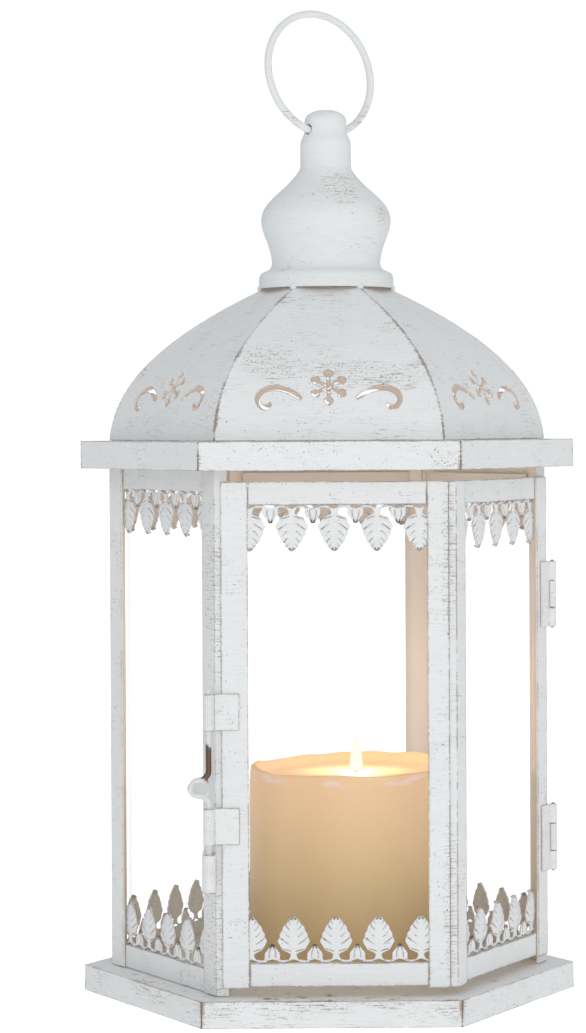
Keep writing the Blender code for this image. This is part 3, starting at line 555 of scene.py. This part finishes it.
ring_wear = [((0.012, 0.009, PIVOT + 0.004), 0.010, 0.010),
             ((-0.012, -0.009, PIVOT + 0.004), 0.007, 0.005)]
ring_paint = brushed_white("ring_paint", 0.5, 1.0, 0.8, inward_tan=False, offset=19.0,
                           rubbed=ring_wear)
bm = bmesh.new()
bmesh.ops.create_circle(bm, segments=20, radius=RING_WIRE,
                        matrix=Matrix.Translation((RING_RADIUS, 0, 0)))
bmesh.ops.spin(bm, geom=bm.verts[:] + bm.edges[:], axis=(0, 1, 0), cent=(0, 0, 0),
               angle=2 * math.pi, steps=96, use_merge=True)
turn = Matrix.Rotation(RING_YAW, 4, "Z") @ Matrix.Rotation(-RING_LEAN, 4, "X")
low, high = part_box("hanging_ring")
bmesh.ops.transform(bm, verts=bm.verts, matrix=Matrix.Translation((low + high) / 2) @ turn)
piece("wire_ring", as_mesh(bm, "wire_ring", smooth=60), ring_paint, "ring",
      ["hanging_ring"])

# Leaf strips
#
# Stamped brass strip: a plain band behind the rail, then leaves on stems, each joined to a bud
# on either side by a curled arch. The stamping leaves a midrib and side veins in each leaf.
# The low places are darkened towards brown as painted shade.

STRIP_SHEET = 0.0005
STRIP_BAND = 0.0045             # behind the rail
LEAF_PITCH = 0.01475
LOBE = 0.0022                   # from one side vein to the next
DOOR_FRONT_PHASE = -0.0011      # of the door's front strips, against their rails' middle
# (distance from the rail, half width) up a leaf on its stem and up a bud, in millimetres
LEAF = [(0.3, 3.0), (0.8, 2.2), (1.5, 1.5), (2.3, 1.15), (3.1, 1.10), (3.6, 1.9), (4.1, 3.1),
        (5.0, 4.2), (6.2, 4.9), (7.4, 5.6), (8.1, 5.45), (9.0, 4.75), (9.8, 4.9), (10.5, 4.65),
        (11.3, 3.9), (12.1, 3.85), (12.9, 3.5), (13.6, 2.5), (14.3, 2.2), (15.0, 1.4),
        (15.5, 0.7), (15.7, 0.15)]
BUD = [(0.3, 3.3), (0.9, 2.9), (1.8, 2.65), (3.0, 2.7), (3.8, 2.45), (4.5, 1.75), (5.1, 1.35),
       (5.7, 1.0), (6.1, 0.2)]


def between(pairs, height):
    """Half width at a height, from a table in millimetres."""
    for (low, first), (high, second) in zip(pairs, pairs[1:]):
        if height <= high / 1000:
            share = (height * 1000 - low) / (high - low)
            return (first + (second - first) * max(0.0, share)) / 1000
    return pairs[-1][1] / 1000


def leaf_surface(u, v, s):
    """(relief, painted shade) at u from the midrib and v from the rail; s is the share of the
    width.
    """
    # The second value is painted shade in the low places: the stem's edges, the side grooves, the
    # midrib and the tip
    if v < 0.0034:
        return 0.00025 + 0.00020 * (1 - s * s), 0.35 * (abs(s) > 0.8)
    lean = min(1.1, 0.35 + 90 * max(0.0, v - 0.0055))
    groove = 1.0 - abs(math.sin(math.pi * (v - lean * abs(u) - 0.0036) / LOBE))
    groove = groove ** 2.5 * min(1.0, max(0.0, 5 * abs(s) - 0.8)) * min(1.0, 6 * (1.02 - abs(s)))
    rib = math.exp(-(u / 0.00035) ** 2) * (0.0042 < v < 0.0138)
    swell = (1 - s * s) * math.sin(math.pi * min(1.0, (v - 0.0030) / 0.0125))
    return (0.00030 + 0.00050 * swell - 0.00050 * groove - 0.00015 * rib,
            groove + 0.35 * rib + 0.6 * max(0.0, v - 0.0140) / 0.0017)


def bud_surface(u, v, s):
    """The same for a bud, which has a groove to each side of its middle."""
    groove = math.exp(-((abs(s) - 0.45) / 0.14) ** 2) * min(1.0, v / 0.002)
    swell = (1 - s * s) * min(1.0, v / 0.003)
    # Painted shade in the bud's grooves and at its tip
    return 0.00030 + 0.00045 * swell - 0.00040 * groove, 0.7 * groove + 0.5 * (v > 0.0052)


def moulded(bm, recess_shade, table, surface, columns, rows, at):
    """Adds a leaf or bud that points down from z = 0, its face towards -y."""
    foot, tip = table[0][0] / 1000, table[-1][0] / 1000
    verts = bmesh.ops.create_grid(bm, x_segments=columns, y_segments=rows, size=0.5)["verts"]
    faces = list({face for vert in verts for face in vert.link_faces})
    for vert in verts:
        s, t = 2 * vert.co.x, vert.co.y + 0.5
        v = foot + t * (tip - foot)
        u = s * between(table, v)
        # Each vertex keeps the painted shade of its place
        relief, vert[recess_shade] = surface(u, v, s)
        notch = 0.0010 * (1 - abs(s)) * (1 - t) ** 6
        vert.co = (at + u, -relief, -v - notch)
    bmesh.ops.recalc_face_normals(bm, faces=faces)
    for face in faces:
        face.normal_update()
    if sum(face.normal.y for face in faces) > 0:
        bmesh.ops.reverse_faces(bm, faces=faces)
    bmesh.ops.solidify(bm, geom=faces, thickness=STRIP_SHEET)


def leaf_strip(width, phase=0.0):
    """Strip hanging from z = 0, the rail's edge, centred on x = 0 and facing -y."""
    bm = bmesh.new()
    # Painted shade for the low places, kept on each vertex
    recess_shade = bm.verts.layers.float.new("recess_shade")
    extruded(bm, [(-width / 2, 0, STRIP_BAND), (width / 2, 0, STRIP_BAND),
                  (width / 2, 0, -0.0001), (-width / 2, 0, -0.0001)], (0, STRIP_SHEET, 0))
    count = math.floor((width / 2 + LEAF_PITCH / 2) / LEAF_PITCH * 2)
    for index in range(-count, count + 1):
        at = index * LEAF_PITCH / 2 + phase
        if index % 2:
            moulded(bm, recess_shade, BUD, bud_surface, 14, 16, at)
        else:
            moulded(bm, recess_shade, LEAF, leaf_surface, 20, 46, at)
        joint = at + LEAF_PITCH / 4
        arch = [(joint - 0.0018, 0.0008), (joint, 0.0005), (joint + 0.0018, 0.0008)]
        path = smooth_loop([(u, -v) for u, v in arch], 4, closed=False)
        extruded(bm, [(u, -0.00035, v) for u, v in band(path, [0.0008] * len(path))],
                 (0, 0.0007, 0))
    for way in (-1, 1):
        bmesh.ops.bisect_plane(bm, geom=bm.verts[:] + bm.edges[:] + bm.faces[:],
                               plane_co=(way * width / 2, 0, 0), plane_no=(way, 0, 0),
                               clear_outer=True)
        bmesh.ops.holes_fill(bm, edges=[edge for edge in bm.edges if edge.is_boundary])
    return bm


def lying(node, sheet):
    """(centre, turn about Z, width) of an upright flat strip, from its box."""
    low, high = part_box(node)
    size, centre = high - low, (low + high) / 2
    lean = math.atan2(size.y, size.x)
    for _ in range(6):
        run = size.x - sheet * math.sin(lean)
        rise = size.y - sheet * math.cos(lean)
        lean = math.atan2(rise, run)
    lean = max(0.0, lean) * (1 if centre.x > 0 else -1)
    if size.y < 2 * sheet:
        lean, run, rise = 0.0, size.x, 0.0
    turn = lean if centre.y < 0 else math.pi - lean
    return centre, turn, math.hypot(run, rise)


leaf_paint = brushed_white("leaf_paint", 0.4, 0.5, 0.9, offset=23.0, bevel=0.0003, relief=True)
for name in matching("leaf_strip", "door_leaf_strip"):
    low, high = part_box(name)
    centre, turn, width = lying(name, STRIP_SHEET)
    door_front = name.startswith("door") and name.endswith("front")
    bm = leaf_strip(width, DOOR_FRONT_PHASE if door_front else 0.0)
    if "bottom" in name:
        bmesh.ops.scale(bm, verts=bm.verts, vec=(1, 1, -1))
        edge = low.z + STRIP_BAND
    else:
        edge = high.z - STRIP_BAND
    place = Matrix.Translation((centre.x, centre.y, edge)) @ Matrix.Rotation(turn, 4, "Z")
    bmesh.ops.transform(bm, verts=bm.verts, matrix=place)
    body = "door" if name.startswith("door") else "lantern"
    piece("stamped_" + name, as_mesh(bm, name, smooth=50), leaf_paint, body,
          [name])

# Panes
#
# Cut float glass, 2 mm thick, held behind the rails. It is clear face on and grey green at
# its cut edges, which are paler towards the lantern's back.

pane = Finish("pane_glass", Roughness=0.04, IOR=1.5)
normal = pane.node("ShaderNodeTexCoord", output="Normal")
outwards = pane.vector("NORMALIZE", pane.vector("MULTIPLY", pane.place, (1.0, 1.0, 0.0)))
facing = pane.vector("DOT_PRODUCT", normal, outwards, "Value").math("ABSOLUTE")
edge = facing.step(0.78, 0.62)
# Painted reflection: the pane is paler and less clear where it is seen at a grazing angle
grazing_reflection = pane.node("ShaderNodeLayerWeight", None, {"Blend": 0.35}, "Facing")
smear = pane.noise(14.0, (1.0, 1.0, 3.0), 4.0)
behind = pane.axes(pane.place)[1].step(-0.03, 0.0)
edge = edge * (1.0 - behind * 0.85)
pane.feed(Base_Color=pane.blend(edge, (0.80, 0.86, 0.84), (0.34, 0.39, 0.33)),
          Alpha=(edge * 0.80 + 0.018 + grazing_reflection * 0.10 + smear.step(0.55, 0.8) * 0.02))
paint_nodes(matching("pane_", "door_pane_"), pane.material)

# Hinges
#
# Two small leaf hinges of folded sheet, spot welded and painted over. The pins are bare steel
# wire with ends that the hammer has rounded.

hinge_paint = brushed_white("hinge_paint", 0.6, 0.8, 1.0, offset=29.0, bevel=0.0004)
paint_nodes(matching("hinge_upper_door", "hinge_upper_frame", "hinge_lower_door",
                     "hinge_lower_frame"), hinge_paint)
steel = Finish("hinge_steel", Metallic=0.9)
scuff = steel.noise(900.0, (1.0, 1.0, 6.0), 4.0)
steel.feed(Base_Color=steel.blend(scuff, (0.32, 0.30, 0.28), (0.60, 0.58, 0.55)),
           Roughness=0.28 + 0.3 * scuff, Normal=steel.bump(scuff, 0.0001, 0.4))
paint_nodes(["hinge_upper_pin", "hinge_lower_pin"], steel.material)

# Latch
#
# A wire bolt slides in two strap guides on the door, down into a keeper on the post. Its
# middle is bent out as a handle and hammered flat. Sliding has rubbed the bolt to bare,
# darkened steel above the handle.

guide_paint = brushed_white("guide_paint", 0.5, 0.6, 1.2, offset=31.0, bevel=0.0005)
paint_nodes(["latch_guide_upper", "latch_guide_lower", "latch_keeper"], guide_paint)

BOLT = 0.00100                  # radius
HANDLE_TURN = math.radians(190.0)
HANDLE_HEIGHT = 0.0823
WEB_SHEET = 0.0004
low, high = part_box("latch_bolt")
bolt_x = high.x - BOLT
bolt_y = high.y - BOLT
path = [(0.0, high.z - HANDLE_HEIGHT), (0.0, 0.012), (0.0, 0.0058), (0.0006, 0.0042),
        (0.0020, 0.0030), (0.0036, 0.0027), (0.0052, 0.0021), (0.0063, 0.0006),
        (0.0064, -0.0006), (0.0052, -0.0021), (0.0036, -0.0027), (0.0020, -0.0030),
        (0.0006, -0.0042), (0.0, -0.0058), (0.0, -0.012), (0.0, low.z - HANDLE_HEIGHT)]
line = bpy.data.curves.new("bolt_line", "CURVE")
line.dimensions = "3D"
line.bevel_depth = BOLT
line.bevel_resolution = 6
line.use_fill_caps = True
spline = line.splines.new("POLY")
points = smooth_loop(path, 6, closed=False)
spline.points.add(len(points) - 1)
for point, (reach, height) in zip(spline.points, points):
    point.co = (reach, 0.0, height, 1.0)
bm = bmesh.new()
bm.from_mesh(finished_mesh(placed("wire", line)))
web = smooth_loop([(0.0008, 0.0040), (0.0030, 0.0028), (0.0054, 0.0018), (0.0060, 0.0),
                   (0.0054, -0.0018), (0.0030, -0.0028), (0.0008, -0.0040), (-0.0002, 0.0)], 4)
extruded(bm, [(u, -WEB_SHEET / 2, v) for u, v in web], (0, WEB_SHEET, 0))
bmesh.ops.transform(bm, verts=bm.verts,
                    matrix=Matrix.Translation((bolt_x, bolt_y, HANDLE_HEIGHT))
                    @ Matrix.Rotation(HANDLE_TURN, 4, "Z"))

bolt = Finish("bolt_finish")
x, _, z = bolt.axes(bolt.place)
grain = bolt.noise(700.0, (1.0, 1.0, 3.0), 4.0, 0.65)
ragged = z + grain * 0.004 + x * 0.8
bare = ragged.step(0.0515, 0.0530) * ragged.step(0.0660, 0.0645)
bare = bare.math("MAXIMUM", grain.step(0.62, 0.70))
# Painted shade on the flattened web between the handle's wire arms, where the coat is greyer
painted_web_shade = z.step(HANDLE_HEIGHT - 0.0022, HANDLE_HEIGHT - 0.0014)
painted_web_shade = painted_web_shade * z.step(HANDLE_HEIGHT + 0.0022, HANDLE_HEIGHT + 0.0014)
painted_web_shade = painted_web_shade * x.step(bolt_x - 0.0060, bolt_x - 0.0050)
coat = bolt.blend(painted_web_shade, (0.74, 0.75, 0.75), (0.61, 0.625, 0.615))
bolt.feed(Base_Color=bolt.blend(bare, coat, (0.15, 0.10, 0.065)),
          Metallic=bare * 0.8, Roughness=0.55 - bare * 0.2,
          Normal=bolt.bump(grain - bare * 0.5, 0.00015, 0.6))
piece("bent_bolt", as_mesh(bm, "bent_bolt", smooth=50), bolt.material, "latch_bolt",
      ["latch_bolt"])

# Candle
#
# A cast pillar of paraffin that has burned down a little: the rim has softened unevenly round
# a shallow pool. The flame's light in the wax is painted light: an emission glow, brighter
# towards the top and brightest in the pool. The wick is charred cotton.

CANDLE_AT = Vector((0.0088, 0.0, 0.0))  # its axis, to the right of the lantern's
CANDLE_RADIUS = 0.0380
RIM_TOP = 0.0838
POOL = RIM_TOP - 0.0038         # height of the melted wax
MELT_FROM = 0.062               # above the candle's foot
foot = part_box("candle")[0].z
rim_up = RIM_TOP - foot
pool_up = POOL - foot
side = [(0.0, 0.0), (0.0365, 0.0), (0.0378, 0.0006), (CANDLE_RADIUS, 0.0018),
        (CANDLE_RADIUS, 0.060), (CANDLE_RADIUS, rim_up - 0.0022), (0.0378, rim_up - 0.0008),
        (0.0370, rim_up),
        (0.0360, rim_up - 0.0002), (0.0345, rim_up - 0.0014), (0.0325, pool_up + 0.0009),
        (0.0290, pool_up + 0.0002), (0.0150, pool_up), (0.0030, pool_up - 0.0002),
        (0.0, pool_up - 0.0002)]
profile = smooth_loop(side, 4, closed=False)
profile = [(max(0.0, min(r, CANDLE_RADIUS)), h) for r, h in profile]
profile[0] = (0.0, 0.0)
profile[-1] = (0.0, profile[-1][1])
bm = spun(profile, 96)
for vert in bm.verts:
    reach = math.hypot(vert.co.x, vert.co.y)
    angle = math.atan2(vert.co.y, vert.co.x)
    hollow = 1.5 * math.exp(-((angle - 2.3) / 0.4) ** 2)  # at the back, to the left
    hollow += 0.5 * math.exp(-((angle + 1.2) / 0.3) ** 2)  # at the front, to the right
    dip = 0.8 - 0.7 * math.sin(angle + 0.35) + 0.9 * hollow + 0.25 * math.sin(angle * 5 + 1.0)
    spot = Vector((vert.co.x, vert.co.y, vert.co.z * 2)) * 90
    share = max(0.0, min(1.0, (vert.co.z - MELT_FROM) / (rim_up - MELT_FROM)))
    if reach > 0.026:
        vert.co.z -= (0.0011 * dip + 0.0009 * noise.noise(spot)) * share ** 4
    if reach > 0.030:
        bulge = (0.0006 * noise.noise(spot * 0.8) - 0.0005) * share ** 2
        vert.co.x *= 1 + bulge / reach
        vert.co.y *= 1 + bulge / reach
bmesh.ops.translate(bm, verts=bm.verts, vec=CANDLE_AT + Vector((0, 0, foot)))

wax = Finish("wax", Subsurface_Weight=0.35, Subsurface_Radius=(0.030, 0.016, 0.008),
             Subsurface_Scale=0.35, Roughness=0.42, Emission_Strength=0.30)
z = wax.axes(wax.place)[2]
cloud = wax.noise(60.0, (1.0, 1.0, 0.6))
level = (z + cloud * 0.010 - foot) / rim_up
colour = wax.blend(level.step(0.0, 0.55), (0.58, 0.43, 0.22), (0.66, 0.50, 0.26))
colour = wax.blend(level.step(0.45, 1.0), colour, (0.76, 0.56, 0.34))
away = wax.vector("SUBTRACT", wax.place, CANDLE_AT[:])
away = wax.vector("LENGTH", wax.vector("MULTIPLY", away, (1.0, 1.0, 0.0)), output="Value")
top = z.step(POOL + 0.0030, POOL + 0.0006)
inner_wall = away.step(0.0366, 0.0352) * z.step(POOL - 0.0030, POOL - 0.0010)
# Painted light: emission stands in for the flame's light in the wax, brighter towards the top, on
# the inner wall and brightest in the melted pool
painted_pool_light = away.step(0.026, 0.004) * z.step(POOL - 0.0040, POOL - 0.0005) * top
painted_glow = wax.blend(level.step(0.2, 1.0), (0.20, 0.10, 0.035), (0.60, 0.32, 0.14))
painted_glow = wax.blend(inner_wall, painted_glow, (1.15, 0.60, 0.26))
painted_glow = wax.blend(painted_pool_light, painted_glow, (2.6, 1.55, 0.42))
pit = wax.noise(1400.0, (1, 1, 1), 2.0)
# Painted highlight: pale lilac patches just below the rim, where light glints off the wax
painted_rim_highlight = wax.noise(120.0, (1.0, 1.0, 3.0), 2.0).step(0.50, 0.62)
painted_rim_highlight = painted_rim_highlight * z.step(RIM_TOP - 0.0062, RIM_TOP - 0.0046)
painted_rim_highlight = painted_rim_highlight * z.step(RIM_TOP - 0.0016, RIM_TOP - 0.0030)
colour = wax.blend(painted_rim_highlight * 0.55 * (1.0 - inner_wall), colour, (0.78, 0.70, 0.80))
wax.feed(Base_Color=colour, Emission_Color=painted_glow,
         Normal=wax.bump(cloud + pit * 0.15, 0.0006, 0.35))
piece("pillar_wax", as_mesh(bm, "pillar_wax", smooth=60), wax.material, "candle",
      ["candle"])

SOOT = (0.055, 0.045, 0.040)
WICK = 0.0009
WICK_LENGTH = 0.0066
wick_foot = CANDLE_AT + Vector((0.0014, 0, POOL))
bm = bmesh.new()
bmesh.ops.create_cone(bm, cap_ends=True, segments=12, radius1=WICK, radius2=0.8 * WICK,
                      depth=WICK_LENGTH, matrix=Matrix.Translation((0, 0, 0.0025)))
level_edges = [e for e in bm.edges if abs(e.verts[0].co.z - e.verts[1].co.z) < 1e-6]
bmesh.ops.bevel(bm, geom=level_edges, affect="EDGES", segments=2, profile=0.5, material=-1,
                offset=0.0003)
bmesh.ops.translate(bm, verts=bm.verts, vec=wick_foot + Vector((0, 0, -0.0002)))
char = Finish("charred_cotton")
ply = char.noise(2600.0, (1.0, 1.0, 0.4), 3.0)
char.feed(Base_Color=char.blend(ply, SOOT, (0.16, 0.11, 0.08)), Roughness=0.8 + 0.15 * ply,
          Normal=char.bump(ply, 0.0004, 0.8))
piece("wick", as_mesh(bm, "wick", smooth=50), char.material, "candle")

FLAME_LENGTH = 0.0122
FLAME_HALF = 0.0025
flame = [(0.0, 0.0), (0.50, 0.01), (0.86, 0.04), (1.0, 0.12), (0.96, 0.30), (0.86, 0.50),
         (0.70, 0.69), (0.48, 0.85), (0.24, 0.96), (0.0, 1.0)]
bm = spun([(max(0.0, r) * FLAME_HALF, h * FLAME_LENGTH)
           for r, h in smooth_loop(flame, 4, closed=False)], 40)
bmesh.ops.translate(bm, verts=bm.verts, vec=wick_foot + Vector((0, 0, 0.0001)))
fire = Finish("flame", Roughness=0.6, Emission_Strength=1.0, Specular_IOR_Level=0.0)
heat = fire.axes(fire.place)[2].step(POOL + 0.0012, POOL + 0.0060)
rim_share = fire.node("ShaderNodeLayerWeight", None, {"Blend": 0.4}, "Facing")
fire.feed(Base_Color=fire.blend(heat, (0.30, 0.12, 0.03), (0.10, 0.07, 0.03)),
          Emission_Color=fire.blend(rim_share.step(0.35, 0.85), (1.0, 0.97, 0.86),
                                    (0.95, 0.66, 0.22)))
burning = piece("flame", as_mesh(bm, "flame", smooth=60), fire.material, "candle")
burning.visible_shadow = False

# Studio
#
# A white floor and an even white surround, with one broad soft light in front of the lantern,
# a weaker one to the right and a small warm one in the flame. The camera stands over a metre
# in front, about level with the roof's rim.

floor = Finish("floor", Base_Color=(0.92, 0.92, 0.92), Roughness=0.7, Emission_Strength=1.0)
seen_share = floor.node("ShaderNodeLightPath", output="Is Camera Ray")
floor.feed(Emission_Color=floor.blend(seen_share, (0.30, 0.30, 0.30), (0.66, 0.66, 0.66)))
bm = bmesh.new()
bmesh.ops.create_grid(bm, x_segments=1, y_segments=1, size=6.0)
bmesh.ops.translate(bm, verts=bm.verts, vec=(0, 0, -0.0002))
mesh = as_mesh(bm, "floor", smooth=0)
mesh.materials.append(floor.material)
placed("floor", mesh)

world = bpy.data.worlds.new("surround")
world.use_nodes = True
bpy.context.scene.world = world
sky = world.node_tree
background = sky.nodes["Background"]
seen = sky.nodes.new("ShaderNodeBackground")
seen.inputs["Color"].default_value = (1.0, 1.0, 1.0, 1.0)
seen.inputs["Strength"].default_value = 1.05
background.inputs["Color"].default_value = (0.96, 0.98, 1.0, 1.0)
direction = sky.nodes.new("ShaderNodeTexCoord")
parts = sky.nodes.new("ShaderNodeSeparateXYZ")
overhead = sky.nodes.new("ShaderNodeMapRange")
for entry, value in (("From Min", 0.0), ("From Max", 1.0), ("To Min", 0.30), ("To Max", 0.80)):
    overhead.inputs[entry].default_value = value
sky.links.new(direction.outputs["Generated"], parts.inputs[0])
sky.links.new(parts.outputs["Z"], overhead.inputs["Value"])
sky.links.new(overhead.outputs[0], background.inputs["Strength"])
mixed = sky.nodes.new("ShaderNodeMixShader")
ray = sky.nodes.new("ShaderNodeLightPath")
sky.links.new(ray.outputs["Is Camera Ray"], mixed.inputs[0])
sky.links.new(background.outputs[0], mixed.inputs[1])
sky.links.new(seen.outputs[0], mixed.inputs[2])
sky.links.new(mixed.outputs[0], sky.nodes["World Output"].inputs[0])

glimmer = bpy.data.lights.new("flame_light", "POINT")
glimmer.energy = 0.030
glimmer.color = (1.0, 0.74, 0.48)
glimmer.shadow_soft_size = 0.003
placed("flame_light", glimmer).location = wick_foot + Vector((0, 0, 0.0075))

for name, place, size, power, colour in (
        ("front_light", (0.15, -1.9, 0.75), 1.2, 10.1, (1.0, 0.995, 0.985)),
        ("right_light", (1.7, -0.3, 0.6), 1.0, 1.2, (1.0, 0.96, 0.92))):
    lamp = bpy.data.lights.new(name, "AREA")
    lamp.size = size
    lamp.energy = power
    lamp.color = colour
    held = placed(name, lamp)
    held.location = place
    aim = Vector((0, 0, 0.18)) - held.location
    held.rotation_euler = aim.to_track_quat("-Z", "Y").to_euler()

DISTANCE = 1.178
EYE_HEIGHT = 0.2093
HEADING = math.radians(-0.60)
PITCH = math.radians(-0.536)
ROLL = math.radians(-0.27)
view = bpy.data.cameras.new("camera")
view.lens = 111.6
view.sensor_width = 36.0
view.shift_x = -0.0329
view.shift_y = -0.0644
view.clip_start = 0.01
camera = placed("camera", view)
eye = Vector((DISTANCE * math.sin(HEADING), -DISTANCE * math.cos(HEADING), EYE_HEIGHT))
camera.matrix_world = (Matrix.Translation(eye) @ Matrix.Rotation(HEADING, 4, "Z")
                       @ Matrix.Rotation(math.pi / 2 + PITCH, 4, "X")
                       @ Matrix.Rotation(ROLL, 4, "Z"))
bpy.context.scene.camera = camera
bpy.context.scene.view_settings.view_transform = "Standard"
